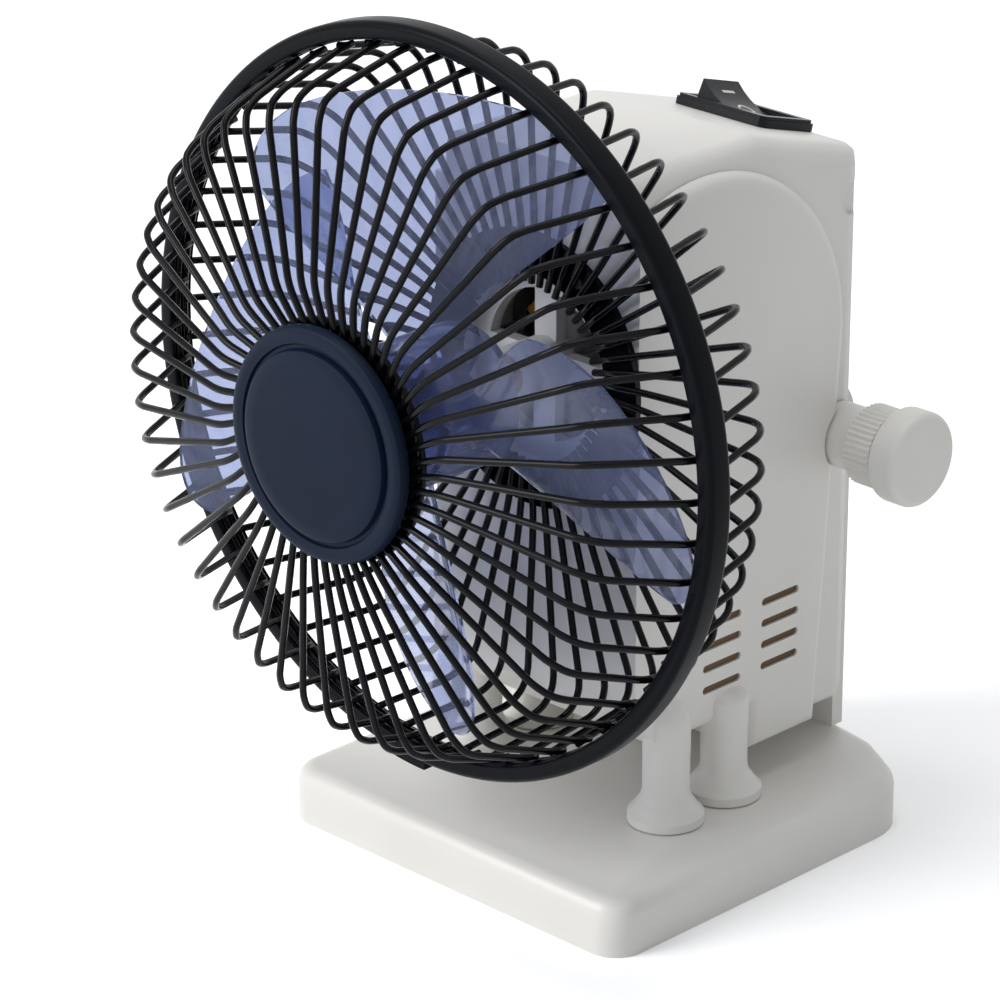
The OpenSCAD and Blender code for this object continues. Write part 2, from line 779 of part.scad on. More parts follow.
// Four taped windings, one round each pole.
module stator_coils() {
    inner_w = pole_w + 2 * seat;
    inner_l = stack_l + 2 * seat;
    color("darkorange") on_axis() intersection() {
        for (k = [0:3]) rotate(45 + 90 * k)
            translate([shoe_r + seat, 0, stack_back_f + stack_l / 2]) rotate([0, 90, 0])
                linear_extrude(coil_h) difference() {
                    soft_square(inner_l + 2 * coil_t, inner_w + 2 * coil_t * 0.55, 1.7);
                    square([inner_l, inner_w], center = true);
                }
        translate([0, 0, stack_back_f - stack_l]) cylinder(r = yoke_r - seat, h = 3 * stack_l);
    }
}

// Round end bracket with four arms and a bearing seat, its back at z = 0.
module end_bracket(boss_l) {
    difference() {
        union() {
            difference() {
                cylinder(r = stator_r, h = bracket_t);
                translate([0, 0, -1]) cylinder(r = yoke_r - 1.5, h = bracket_t + 2);
            }
            for (a = [0, 90]) rotate(a) translate([-yoke_r, -2.6, 0]) cube([2 * yoke_r, 5.2, bracket_t]);
            cylinder(r = bush_r + 2.2, h = boss_l);
        }
        translate([0, 0, -1]) cylinder(r = bush_r + 0.02, h = boss_l + 2);
        for (s = [-1, 1]) translate([s * tie_place, 0, -1])
            cylinder(r = tie_r + run_fit, h = bracket_t + 2);
    }
}

module motor_front_bracket() {
    ear_w = 7;
    color("gainsboro") on_axis() difference() {
        translate([0, 0, motor_front_f]) {
            end_bracket(nose_f - motor_front_f);
            for (s = [-1, 1]) intersection() {
                difference() {
                    translate([-ear_w / 2, s > 0 ? 0 : -plate_screw_r - 3, 0])
                        cube([ear_w, plate_screw_r + 3, bracket_t]);
                    cylinder(r = yoke_r, h = 3 * bracket_t, center = true);
                }
                cylinder(r = plate_screw_r + 3, h = bracket_t);
            }
        }
        for (s = [-1, 1]) translate([0, s * plate_screw_r, motor_front_f - 1])
            cylinder(r = screw_r + run_fit, h = bracket_t + 2);
        // Room for the heads of the guard's screws where the bracket is wide enough to meet them.
        for (a = plate_screws) rotate(a)
            translate([plate_screw_r, 0, front_in - screw_head_t - gap])
                cylinder(r = screw_head_r + gap, h = bracket_t);
    }
}

module motor_rear_bracket() {
    color("gainsboro") on_axis() translate([0, 0, motor_back_f]) mirror([0, 0, 1])
        end_bracket(bush_l + 1);
}

module motor_tie_bolts() {
    color("silver") on_axis() for (s = [-1, 1]) translate([s * tie_place, 0, motor_back_f - bracket_t]) {
        cylinder(r = tie_r, h = motor_front_f - motor_back_f + 2 * bracket_t - 0.3);
        translate([0, 0, -1.4]) cylinder(r = tie_r + 1, h = 1.4 - seat / 2);
        translate([0, 0, -seat / 2 - eps]) cylinder(r = tie_r, h = seat);
    }
}

module motor_screws() {
    color("silver") on_axis() for (s = [-1, 1]) translate([0, s * plate_screw_r, motor_front_f - seat / 2])
        mirror([0, 0, 1]) screw(bracket_t + case_wall - 1);
}

module bearing_bushes() {
    color("peru") on_axis() for (f = [nose_f, motor_back_f]) translate([0, 0, f - bush_l]) difference() {
        cylinder(r = bush_r, h = bush_l);
        translate([0, 0, -1]) cylinder(r = shaft_r + run_fit, h = bush_l + 2);
    }
}

module rotor_core() {
    color("slategray") on_axis() translate([0, 0, stack_back_f - rotor_over]) difference() {
        union() {
            cylinder(r = rotor_r - 0.8, h = stack_l + 2 * rotor_over);
            translate([0, 0, rotor_over]) cylinder(r = rotor_r, h = stack_l);
        }
        translate([0, 0, -1]) cylinder(r = shaft_r + 0.02, h = stack_l + 2 * rotor_over + 2);
    }
}

module rotor_shaft() {
    back = motor_back_f - bush_l - 2.5;
    tip = blade_mid_f + blade_hub_l / 2 - 3;
    color("silver") on_axis() translate([0, 0, back]) cylinder(r = shaft_r, h = tip - back);
}

// Fan blade

// How far out the blade reaches at s, from -1 at its rear, leading side to 1 at its front side.
function blade_reach(s) = blade_r - (blade_r - blade_hub_r) * (0.06 * s * s + 0.2 * pow(s, 8));

// A point of the blade, t from 0 at the hub to 1 at the rim; side is -1 behind and 1 in front.
function blade_point(s, t, side) =
    let (r = blade_hub_r - 0.8 + (blade_reach(s) - blade_hub_r + 0.8) * t)
    let (a = blade_span / 2 * s * (0.82 + 0.18 * t))
    let (lift = blade_depth / 2 * s * (0.62 + 0.38 * t))
    [r * cos(a), r * sin(a), lift + side * blade_t / 2 * (1 - 0.45 * pow(abs(s), 4))];

module blade() {
    side_n = (blade_rows + 1) * (blade_cols + 1);
    points = [for (side = [-1, 1], i = [0:blade_rows], j = [0:blade_cols])
        blade_point(2 * j / blade_cols - 1, i / blade_rows, side)];
    function at(k, i, j) = k * side_n + i * (blade_cols + 1) + j;
    skins = [for (i = [0:blade_rows - 1], j = [0:blade_cols - 1]) each [
        [at(0, i, j), at(0, i + 1, j), at(0, i, j + 1)],
        [at(0, i + 1, j), at(0, i + 1, j + 1), at(0, i, j + 1)],
        [at(1, i, j), at(1, i, j + 1), at(1, i + 1, j)],
        [at(1, i + 1, j), at(1, i, j + 1), at(1, i + 1, j + 1)]]];
    ends = [for (j = [0:blade_cols - 1]) each [
        [at(0, 0, j), at(0, 0, j + 1), at(1, 0, j)], [at(1, 0, j), at(0, 0, j + 1), at(1, 0, j + 1)],
        [at(0, blade_rows, j), at(1, blade_rows, j), at(0, blade_rows, j + 1)],
        [at(1, blade_rows, j), at(1, blade_rows, j + 1), at(0, blade_rows, j + 1)]]];
    edges = [for (i = [0:blade_rows - 1]) each [
        [at(0, i, 0), at(1, i, 0), at(0, i + 1, 0)], [at(1, i, 0), at(1, i + 1, 0), at(0, i + 1, 0)],
        [at(0, i, blade_cols), at(0, i + 1, blade_cols), at(1, i, blade_cols)],
        [at(1, i, blade_cols), at(0, i + 1, blade_cols), at(1, i + 1, blade_cols)]]];
    polyhedron(points, concat(skins, ends, edges));
}

module fan_blade() {
    color("slateblue", 0.6) on_axis() difference() {
        union() {
            for (k = [0:blades - 1]) rotate(blade_first + 360 * k / blades)
                translate([0, 0, blade_mid_f]) blade();
            translate([0, 0, hub_back_f]) difference() {
                cylinder(r = blade_hub_r, h = blade_hub_l);
                translate([0, 0, -1]) cylinder(r = blade_hub_r - 1.8, h = blade_hub_l - 1);
            }
            translate([0, 0, hub_back_f + 1]) cylinder(r = shaft_r + 2.6, h = blade_hub_l - 1.5);
            for (a = [0:60:300]) rotate(a) translate([shaft_r + 1.5, -0.6, hub_back_f + 3])
                cube([blade_hub_r - shaft_r - 2.5, 1.2, blade_hub_l - 4]);
        }
        translate([0, 0, hub_back_f - 1]) cylinder(r = shaft_r + 0.02, h = blade_hub_l - 2);
    }
}

// Guard

// Point on a basket: radius, forward distance and angle.
function polar(r, f, a) = [r * cos(a), r * sin(a), f];
function unit(v) = v / norm(v);

// Direction of a path at point i.
function heading(p, i) = unit(p[min(i + 1, len(p) - 1)] - p[max(i - 1, 0)]);

// One wire: a tube along the path p, which stays near the plane square to side.
module wire(p, side) {
    n = wire_sides;
    last = len(p) - 1;
    points = [for (i = [0:last])
        let (u = unit(cross(heading(p, i), side)))
        let (v = cross(heading(p, i), u))
        for (k = [0:n - 1]) p[i] + wire_r * (cos(360 * k / n) * u + sin(360 * k / n) * v)];
    skin = [for (i = [0:last - 1], k = [0:n - 1]) each [
        [i * n + k, (i + 1) * n + k, i * n + (k + 1) % n],
        [i * n + (k + 1) % n, (i + 1) * n + k, (i + 1) * n + (k + 1) % n]]];
    polyhedron(points, concat(skin, [[for (k = [0:n - 1]) k], [for (k = [n - 1:-1:0]) last * n + k]]));
}

// A round hoop of wire.
module hoop(r, f, section) {
    translate([0, 0, f]) rotate_extrude($fn = 128) translate([r, 0]) circle(section, $fn = 24);
}

// A front wire: from the centre ring outward with a swirl, round its turn and back to the hoop.
function front_path(a) = [
    polar(hub_ring_r - 2, hub_f - 0.1, a - front_swirl),
    polar(hub_ring_r + 2, hub_f + 0.1, a - front_swirl * 0.5),
    polar(hub_ring_r + 7, hub_f + 0.2, a - front_swirl * 0.1),
    polar(front_turn_r - 3.2, front_turn_f + 1.6, a),
    polar(front_turn_r, front_turn_f, a),
    polar(front_turn_r + 1.6, front_turn_f - 2.6, a - side_twist * 0.15),
    polar(hoop_in - 0.4, ring_front_f, a - side_twist * 0.9),
    polar(hoop_in, front_hoop_f - 0.9, a - side_twist)];

// A rear wire: from the centre plate outward, round its turn and forward to the hoop.
function rear_path(a) = [
    polar(plate_bore - 1.5, rear_wire_f, a),
    polar(plate_r + 1.5, rear_wire_f, a),
    polar(rear_turn_r - 3.5, rear_turn_f - 0.7, a),
    polar(rear_turn_r, rear_turn_f + 0.3, a),
    polar(rear_turn_r + 1, rear_turn_f + 2.4, a - side_twist * 0.1),
    polar(hoop_in - 0.4, ring_back_f, a - side_twist * 0.9),
    polar(hoop_in, rear_hoop_f + 0.9, a - side_twist)];

function side_of(a) = [-sin(a), cos(a), 0];

module rear_wires() {
    color("black") on_axis() for (k = [0:wires - 1])
        wire(rear_path(360 * k / wires), side_of(360 * k / wires));
}

module front_wires() {
    color("black") on_axis() for (k = [0.5:wires - 0.5])
        wire(front_path(360 * k / wires), side_of(360 * k / wires));
}

module rear_hoop() {
    color("black") on_axis() hoop(hoop_mid, rear_hoop_f, hoop_r);
}

module front_hoop() {
    color("black") on_axis() hoop(hoop_mid, front_hoop_f, hoop_r);
}

module centre_ring() {
    color("black") on_axis() hoop(hub_ring_r, hub_f - wire_r - hub_wire_r - touch, hub_wire_r);
}

module rear_guard_plate() {
    color("black") on_axis() translate([0, 0, case_front + seat]) difference() {
        cylinder(r = plate_r, h = plate_t);
        translate([0, 0, -1]) cylinder(r = plate_bore, h = plate_t + 2);
        for (a = plate_screws) rotate(a)
            translate([plate_screw_r, 0, -1]) cylinder(r = screw_r + run_fit, h = plate_t + 2);
    }
}

// The plate's screws come from inside the housing, so that the wires lie flat over their ends.
module guard_screws() {
    color("silver") on_axis() for (a = plate_screws) rotate(a)
        translate([plate_screw_r, 0, front_in - seat / 2]) mirror([0, 0, 1])
            screw(plate_f - front_in - seat);
}

// Trim ring: a channel with a rolled front lip that holds both hoops together.
module guard_ring() {
    soft = 1.2;
    color("black") on_axis() rotate_extrude($fn = 128) {
        intersection() {
            translate([ring_r - ring_wall, ring_back_f]) square([ring_wall, ring_w]);
            union() {
                translate([ring_r - ring_wall, ring_back_f]) square([ring_wall - soft, ring_w]);
                translate([ring_r - soft, ring_back_f + soft]) square([soft, ring_w - 2 * soft]);
                for (f = [ring_back_f + soft, ring_front_f - soft])
                    translate([ring_r - soft, f]) circle(soft);
            }
        }
        translate([lip_r + lip_t / 2, ring_front_f - lip_t]) square([ring_r - ring_wall - lip_r, lip_t]);
        translate([lip_r + lip_t / 2, ring_front_f - lip_t / 2]) circle(d = lip_t);
        translate([hoop_mid, ring_back_f]) square([ring_r - ring_wall - hoop_mid + eps, back_t]);
    }
}

// Clip over the joint of the trim ring.
module ring_clip() {
    color("black") on_axis() rotate(-94) intersection() {
        difference() {
            translate([0, 0, ring_back_f + 0.8]) cylinder(r = ring_r + seat + 1.3, h = ring_w - 1.6);
            cylinder(r = ring_r + seat, h = 2 * ring_front_f);
        }
        translate([0, -4.5, 0]) cube([2 * ring_r, 9, 2 * ring_front_f]);
    }
}

// Plate behind the front wires that the badge is screwed to.
module badge_plate() {
    color("black") on_axis() translate([0, 0, badge_plate_f]) difference() {
        cylinder(r = hub_ring_r - hub_wire_r - gap, h = badge_plate_t);
        translate([0, 0, -1]) cylinder(r = screw_r + run_fit, h = badge_plate_t + 2);
    }
}

module badge_screw() {
    color("silver") on_axis() translate([0, 0, badge_plate_f - seat / 2])
        mirror([0, 0, 1]) screw(badge_f - badge_plate_f + badge_t - 1);
}

// Bare badge: a rim, a groove and a raised, slightly domed middle, with a screw boss behind.
module badge() {
    groove = 0.6;
    color("darkslategray") on_axis() translate([0, 0, badge_f]) difference() {
        union() {
            rotate_extrude($fn = 128) polygon([
                [0, 0], [badge_r - 0.4, 0], [badge_r, 0.5], [badge_r, badge_t - 1],
                [badge_r - 0.4, badge_t - 0.3], [badge_r - 1.1, badge_t],
                [badge_mid_r + 0.9, badge_t - 0.1], [badge_mid_r + 0.6, badge_t - groove],
                [badge_mid_r, badge_t - groove], [badge_mid_r - 0.3, badge_t + badge_rise * 0.5],
                [badge_mid_r - 1.1, badge_t + badge_rise * 0.85],
                [badge_mid_r * 0.5, badge_t + badge_rise], [0, badge_t + badge_rise]]);
            translate([0, 0, badge_plate_f + badge_plate_t + seat - badge_f])
                cylinder(r = screw_r + 2.4, h = badge_f - badge_plate_f - badge_plate_t - seat + eps);
        }
        translate([0, 0, -10]) cylinder(r = screw_r + run_fit, h = 10 + badge_t - 0.8);
    }
}

base_plate();
base_cover();
rubber_feet();
cover_screws();
tilt_bracket();
bracket_screws();
friction_washers();
pivot_nut();
clamp_bolt();
tilt_knob();
front_shell();
rear_cover();
shell_screws();
cord_grommet();
switch_body();
switch_rocker();
switch_terminals();
stator_core();
stator_coils();
motor_front_bracket();
motor_rear_bracket();
motor_tie_bolts();
motor_screws();
bearing_bushes();
rotor_core();
rotor_shaft();
fan_blade();
rear_wires();
rear_hoop();
rear_guard_plate();
guard_screws();
guard_ring();
ring_clip();
front_wires();
front_hoop();
centre_ring();
badge_plate();
badge_screw();
badge();
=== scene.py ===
"""Looks of the mini desk fan: materials, finer guard and blades, small pieces, floor, light and camera."""

import math

import bmesh
import bpy
from mathutils import Matrix, Vector


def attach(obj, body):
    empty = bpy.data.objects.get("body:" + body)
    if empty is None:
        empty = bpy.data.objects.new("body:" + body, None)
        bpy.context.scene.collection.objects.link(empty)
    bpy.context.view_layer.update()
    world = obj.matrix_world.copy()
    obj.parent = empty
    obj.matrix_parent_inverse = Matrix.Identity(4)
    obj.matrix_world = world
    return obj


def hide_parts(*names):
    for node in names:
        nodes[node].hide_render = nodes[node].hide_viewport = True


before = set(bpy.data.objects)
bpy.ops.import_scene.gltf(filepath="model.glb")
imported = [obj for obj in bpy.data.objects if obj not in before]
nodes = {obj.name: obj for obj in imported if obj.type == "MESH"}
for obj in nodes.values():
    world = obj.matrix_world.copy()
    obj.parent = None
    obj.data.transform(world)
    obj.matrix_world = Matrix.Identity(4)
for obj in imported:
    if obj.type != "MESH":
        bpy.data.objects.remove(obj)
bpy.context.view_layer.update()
MM = 0.001

# Sizes of the guard in millimetres, as in the CAD model; F is a distance ahead along the fan axis
AXIS_Z = 93.7
WIRES, WIRE_R = 54, 0.65
WELD_GAP, SEAT_GAP = 0.03, 0.1
HOUSING_FRONT_F = 17
PLATE_BORE, PLATE_R, PLATE_T = 18, 25.5, 1.2
REAR_RISE, REAR_SIDE = 4.4, 16.6
REAR_WIRE_F = HOUSING_FRONT_F + SEAT_GAP + PLATE_T + WIRE_R + WELD_GAP
REAR_TURN_R, REAR_TURN_F = 59, REAR_WIRE_F + REAR_RISE
RING_R, RING_WALL, RING_SOFT, RING_W = 67.5, 1.5, 1.2, 5.4
RING_BACK_F = REAR_TURN_F + REAR_SIDE
RING_FRONT_F = RING_BACK_F + RING_W
LIP_IN, LIP_T, BACK_T = 3.3, 1.2, 0.8
FRONT_SIDE, FRONT_RISE = 15.2, 6.2
FRONT_TURN_R, FRONT_TURN_F = 57.2, RING_FRONT_F + FRONT_SIDE
HUB_RING_R, HUB_RING_F = 20.5, FRONT_TURN_F + FRONT_RISE
HOOP_R, HOOP_GAP = 0.75, 0.45
HOOP_MID = RING_R - RING_WALL - HOOP_R - HOOP_GAP
HOOP_IN = HOOP_MID - HOOP_R - WIRE_R - WELD_GAP
FRONT_HOOP_F = RING_FRONT_F - LIP_T - HOOP_R - SEAT_GAP
REAR_HOOP_F = RING_BACK_F + BACK_T + HOOP_R + SEAT_GAP

# Bends of the guard's wires: swirl, twist and the rear bend's ends in degrees, lengths in millimetres
SWIRL, TWIST = 7, 3
HUB_LAP, SWIRL_END, CROWN = 2, 7, 0.1
TURN_BEFORE, TURN_AFTER = (3.2, 1.6), (1.6, 2.6)
REAR_BEND_R, REAR_BEND_IN, REAR_BEND_AHEAD = 7, 4.6, 5.5
REAR_BEND_FROM, REAR_BEND_TO, REAR_BEND_STEPS = -84, -14, 4
PLATE_LAP, HOOP_LEAN, HOOP_LAP = 1.5, 0.4, 0.9
EASE_SHARE, EASE_STEPS = 0.42, 5
WIRE_SIDES, RING_STEPS = 10, 240

# Fan blades and their hub: lengths in millimetres; half width, spread, round and lag in degrees
BLADES, BLADE_FIRST = 4, 93
BLADE_ROOT, BLADE_TIP, BLADE_T = 12.2, 56.4, 1.5
BLADE_MID_F, BLADE_PITCH = 45, 0.54
BLADE_HALF, BLADE_SPREAD, BLADE_ROUND, BLADE_LAG = 19.4, 38.2, 24.6, 3.7
LEAD_CORNER, TRAIL_CORNER, CORNER_POWER = 9.5, 5, 6
EDGE_THIN, EDGE_POWER = 0.55, 8
BLADE_ROWS, BLADE_COLS = 26, 40
HUB_R, HUB_L, HUB_WALL = 13, 17, 1.8
HUB_BEHIND, HUB_CAP, HUB_SOFT = 6, 2, 1.2
HUB_BACK_F = RING_BACK_F - HUB_BEHIND
HUB_STEPS, AXIS_HOLE = 64, 0.01
BOSS_R, BOSS_BORE, BOSS_INSET = 4.2, 1.62, 1
RIBS, RIB_HALF_T, RIB_BACK, RIB_FRONT = 6, 0.6, 3, 1.5
RIB_IN_LAP, RIB_OUT_LAP = 0.6, 1

# Legs and vent slots of the housing; LEG_RISES has each leg's place along y and its shoulder's rise
LEG_X, LEG_R = 23.7, 4.3
LEG_RISES = {-7.4: 5.3, 8: 2.2}
SHOULDER_LOW, SHOULDER_MID, SHOULDER_PROUD = 24.2, 29.7, 0.06
SHOULDER_TAPER, SHOULDER_LEAN = 2.1, 1.7
SHOULDER_STEPS, SHOULDER_SIDES = 8, 36
VENT_L, VENT_H = 10, 1.5
VENT_ROWS, VENT_PITCH, VENT_LOW = 4, 4.2, 33.3
VENT_COLUMNS = (0.8, 16.3)
# Sheets of painted shade in the vent slots: their x, and how far they reach past each slot
VENT_SHADE_SHEET_X, VENT_LAP = (24.0, 24.3), 0.2

# Rocker switch on the housing's slope; slope and tilt in degrees
SLOPE, SLOPE_START_Y, SLOPE_START_Z = 16, 17, 133
SWITCH_Y = 36.4
SWITCH_Z = SLOPE_START_Z - (SWITCH_Y - SLOPE_START_Y) * math.tan(math.radians(SLOPE))
ROCKER_TILT, ROCKER_HALF, ROCKER_END = 14, 8, 3.6
ROCKER_DIP, ROCKER_FACETS = 0.58, 4
INK_T = 0.03
STROKES_X, STROKE_HALF_W, STROKE_HALF_L = (-5.4, 4.6, 6.2), 0.3, 1.7
MARK_RING, MARK_STEPS = (1.25, 1.75), 48

# Stage: lengths in metres, the lens in millimetres; the camera was fitted to the photograph
FLOOR_SIZE = 12
FLOOR_NEAR, FLOOR_FAR = 0.5, 2.0
LIFT_NEAR, LIFT_FAR = 1.6, 3.2
LAMP_SIZE = 0.8
WORLD_GLOW = 0.38
SENSOR, LENS = 36, 168.4
AZIMUTH, ELEVATION, DISTANCE = math.radians(44.77), math.radians(22.33), 0.862
TARGET = Vector((-0.0256, 0, 0.0562))

# Shared by the materials and by the smooth shading
TONE_SCALE, GLOSS_SCALE = 28, 160
GRAIN_STRENGTH, COAT_ROUGHNESS = 0.25, 0.25
SMOOTH_ANGLE, MERGE_DISTANCE = math.radians(32), 1e-6


# Materials


def new_material(name):
    material = bpy.data.materials.new(name)
    material.use_nodes = True
    tree = material.node_tree
    shader = tree.nodes["Principled BSDF"]
    return material, tree, shader


def noise(tree, scale, detail, stretch=(1, 1, 1)):
    """A noise texture in object space, so that it stays on its piece."""
    place = tree.nodes.new("ShaderNodeTexCoord")
    mapping = tree.nodes.new("ShaderNodeMapping")
    mapping.inputs["Scale"].default_value = stretch
    texture = tree.nodes.new("ShaderNodeTexNoise")
    texture.inputs["Scale"].default_value = scale
    texture.inputs["Detail"].default_value = detail
    tree.links.new(place.outputs["Object"], mapping.inputs["Vector"])
    tree.links.new(mapping.outputs["Vector"], texture.inputs["Vector"])
    return texture.outputs["Fac"]


def ramp(tree, source, low, high, dark, light):
    """Turns a texture's value into a colour between dark at low and light at high."""
    node = tree.nodes.new("ShaderNodeValToRGB")
    for element, position, colour in zip(node.color_ramp.elements, (low, high), (dark, light)):
        element.position = position
        element.color = (*colour, 1)
    tree.links.new(source, node.inputs["Fac"])
    return node.outputs["Color"]


def spread(tree, source, low, high):
    """Maps a value onto a range; the value runs from 0 to 1 unless the node is told otherwise."""
    node = tree.nodes.new("ShaderNodeMapRange")
    node.inputs["To Min"].default_value = low
    node.inputs["To Max"].default_value = high
    tree.links.new(source, node.inputs["Value"])
    return node


def bump(tree, shader, source, strength, distance):
    node = tree.nodes.new("ShaderNodeBump")
    node.inputs["Strength"].default_value = strength
    node.inputs["Distance"].default_value = distance
    tree.links.new(source, node.inputs["Height"])
    tree.links.new(node.outputs["Normal"], shader.inputs["Normal"])


def finish_of(name, dark, light, rough, grain=900, grain_depth=0.00002, metallic=0.0, coat=0.0,
              specular=0.5):
    """A surface with slow changes of tone, an uneven gloss and a fine grain."""
    material, tree, shader = new_material(name)
    tone = ramp(tree, noise(tree, TONE_SCALE, 3), 0.3, 0.7, dark, light)
    tree.links.new(tone, shader.inputs["Base Color"])
    gloss = spread(tree, noise(tree, GLOSS_SCALE, 5), *rough)
    tree.links.new(gloss.outputs["Result"], shader.inputs["Roughness"])
    bump(tree, shader, noise(tree, grain, 6), GRAIN_STRENGTH, grain_depth)
    shader.inputs["Metallic"].default_value = metallic
    shader.inputs["Coat Weight"].default_value = coat
    shader.inputs["Coat Roughness"].default_value = COAT_ROUGHNESS
    shader.inputs["Specular IOR Level"].default_value = specular
    return material


def clear_violet():
    """Tinted clear plastic of the fan blades."""
    material, tree, shader = new_material("clear_violet")
    tone = ramp(tree, noise(tree, 40, 2), 0.3, 0.7, (0.36, 0.41, 0.62), (0.42, 0.47, 0.68))
    tree.links.new(tone, shader.inputs["Base Color"])
    gloss = spread(tree, noise(tree, 120, 3), 0.0, 0.04)
    tree.links.new(gloss.outputs["Result"], shader.inputs["Roughness"])
    shader.inputs["Transmission Weight"].default_value = 0.82
    shader.inputs["IOR"].default_value = 1.06
    shader.inputs["Coat Weight"].default_value = 0.3
    shader.inputs["Coat Roughness"].default_value = 0.1
    return material


def sheet_stack():
    """Edges of stacked steel sheets: fine lines across the fan axis."""
    material, tree, shader = new_material("sheet_stack")
    lines = noise(tree, 60, 2, (1, 60, 1))
    tone = ramp(tree, lines, 0.35, 0.65, (0.06, 0.06, 0.065), (0.2, 0.2, 0.21))
    tree.links.new(tone, shader.inputs["Base Color"])
    shader.inputs["Metallic"].default_value = 0.8
    shader.inputs["Roughness"].default_value = 0.5
    bump(tree, shader, lines, 0.4, 0.0002)
    return material


ivory = finish_of("ivory_plastic", (0.78, 0.765, 0.725), (0.83, 0.815, 0.78), (0.34, 0.46), coat=0.08)
pale = finish_of("pale_plastic", (0.62, 0.62, 0.60), (0.70, 0.70, 0.68), (0.5, 0.62))
knob_white = finish_of("knob_plastic", (0.79, 0.775, 0.73), (0.85, 0.835, 0.80), (0.4, 0.52))
paint = finish_of("black_paint", (0.002, 0.002, 0.003), (0.004, 0.004, 0.006), (0.12, 0.2),
                  grain=1400, specular=0.12)
trim = finish_of("black_trim", (0.002, 0.003, 0.004), (0.004, 0.005, 0.008), (0.24, 0.34), specular=0.06)
slate = finish_of("slate_plastic", (0.003, 0.008, 0.021), (0.006, 0.012, 0.03), (0.34, 0.46),
                  grain=1800, specular=0.08)
switch_black = finish_of("switch_plastic", (0.004, 0.005, 0.007), (0.008, 0.009, 0.012), (0.22, 0.32),
                         specular=0.16)
rubber = finish_of("rubber_black", (0.018, 0.018, 0.018), (0.03, 0.03, 0.03), (0.7, 0.85))
steel = finish_of("zinc_steel", (0.5, 0.51, 0.52), (0.66, 0.67, 0.68), (0.26, 0.42), metallic=1.0)
brass = finish_of("plain_brass", (0.55, 0.38, 0.15), (0.68, 0.5, 0.22), (0.3, 0.45), metallic=1.0)
casting = finish_of("die_casting", (0.6, 0.59, 0.56), (0.74, 0.73, 0.70), (0.45, 0.6), metallic=0.3)
bush = finish_of("bronze_bush", (0.2, 0.06, 0.04), (0.3, 0.1, 0.06), (0.35, 0.5), metallic=0.6)
tape = finish_of("orange_tape", (0.62, 0.22, 0.03), (0.8, 0.34, 0.06), (0.3, 0.5),
                 grain=500, grain_depth=0.00008)
# Dark brown of the sheets in the vent slots: painted shade of the housing's dark inside
shade = finish_of("vent_painted_shade", (0.09, 0.05, 0.024), (0.17, 0.1, 0.05), (0.7, 0.85))
white_ink = finish_of("white_ink", (0.72, 0.72, 0.72), (0.8, 0.8, 0.8), (0.5, 0.6))
violet = clear_violet()
laminations = sheet_stack()

USES = {
    ivory: ["base_plate", "tilt_bracket", "front_shell", "rear_cover"],
    pale: ["base_cover"],
    knob_white: ["tilt_knob"],
    paint: ["rear_wires", "rear_hoop", "rear_guard_plate", "front_wires", "front_hoop", "centre_ring"],
    trim: ["guard_ring", "ring_clip", "badge_plate"],
    slate: ["badge"],
    switch_black: ["switch_body", "switch_rocker"],
    rubber: ["rubber_feet", "friction_washers", "cord_grommet"],
    steel: ["cover_screws", "bracket_screws", "pivot_nut", "clamp_bolt", "shell_screws",
            "motor_tie_bolts", "motor_screws", "rotor_shaft", "guard_screws", "badge_screw"],
    brass: ["switch_terminals"],
    casting: ["motor_front_bracket", "motor_rear_bracket"],
    bush: ["bearing_bushes"],
    tape: ["stator_coils"],
    laminations: ["stator_core", "rotor_core"],
    violet: ["fan_blade"],
}
for material, names in USES.items():
    for name in names:
        nodes[name].data.materials.clear()
        nodes[name].data.materials.append(material)


# Smooth shading by a modifier, for the CAD pieces and some of the new ones


def smooth_group():
    """Geometry nodes that shade smooth across edges flatter than SMOOTH_ANGLE."""
    group = bpy.data.node_groups.new("smooth_by_angle", "GeometryNodeTree")
    group.interface.new_socket("Geometry", in_out="INPUT", socket_type="NodeSocketGeometry")
    group.interface.new_socket("Geometry", in_out="OUTPUT", socket_type="NodeSocketGeometry")
    start = group.nodes.new("NodeGroupInput")
    end = group.nodes.new("NodeGroupOutput")
    merge = group.nodes.new("GeometryNodeMergeByDistance")
    merge.inputs["Distance"].default_value = MERGE_DISTANCE
    edge = group.nodes.new("GeometryNodeInputMeshEdgeAngle")
    compare = group.nodes.new("FunctionNodeCompare")
    compare.operation = "LESS_THAN"
    compare.inputs["B"].default_value = SMOOTH_ANGLE
    faces = group.nodes.new("GeometryNodeSetShadeSmooth")
    faces.domain = "FACE"
    edges = group.nodes.new("GeometryNodeSetShadeSmooth")
    edges.domain = "EDGE"
    group.links.new(start.outputs["Geometry"], merge.inputs["Geometry"])
    group.links.new(merge.outputs["Geometry"], faces.inputs["Geometry"])
    group.links.new(faces.outputs["Geometry"], edges.inputs["Geometry"])
    group.links.new(edge.outputs["Unsigned Angle"], compare.inputs["A"])
    group.links.new(compare.outputs["Result"], edges.inputs["Shade Smooth"])
    group.links.new(edges.outputs["Geometry"], end.inputs["Geometry"])
    return group


SMOOTH = smooth_group()


def smooth_by_angle(piece):
    piece.modifiers.new("smooth", "NODES").node_group = SMOOTH


for node in nodes.values():
    smooth_by_angle(node)


# Points and faces of new pieces: worked out in millimetres, kept in metres


def polar(r, f, a):
    """A point about the fan axis: radius, distance ahead, angle seen from the front."""
    t = math.radians(a)
    return Vector((r * math.cos(t), -f, AXIS_Z + r * math.sin(t)))


def across(a):
    """The direction square to the radius at angle a and to the fan axis."""
    return Vector((-math.sin(math.radians(a)), 0, math.cos(math.radians(a))))


def arc(r, f, radius, start, end, steps=6):
    """Points (radius, ahead) of a round corner about (r, f)."""
    angles = [math.radians(start + (end - start) * i / steps) for i in range(steps + 1)]
    return [(r + radius * math.cos(t), f + radius * math.sin(t)) for t in angles]


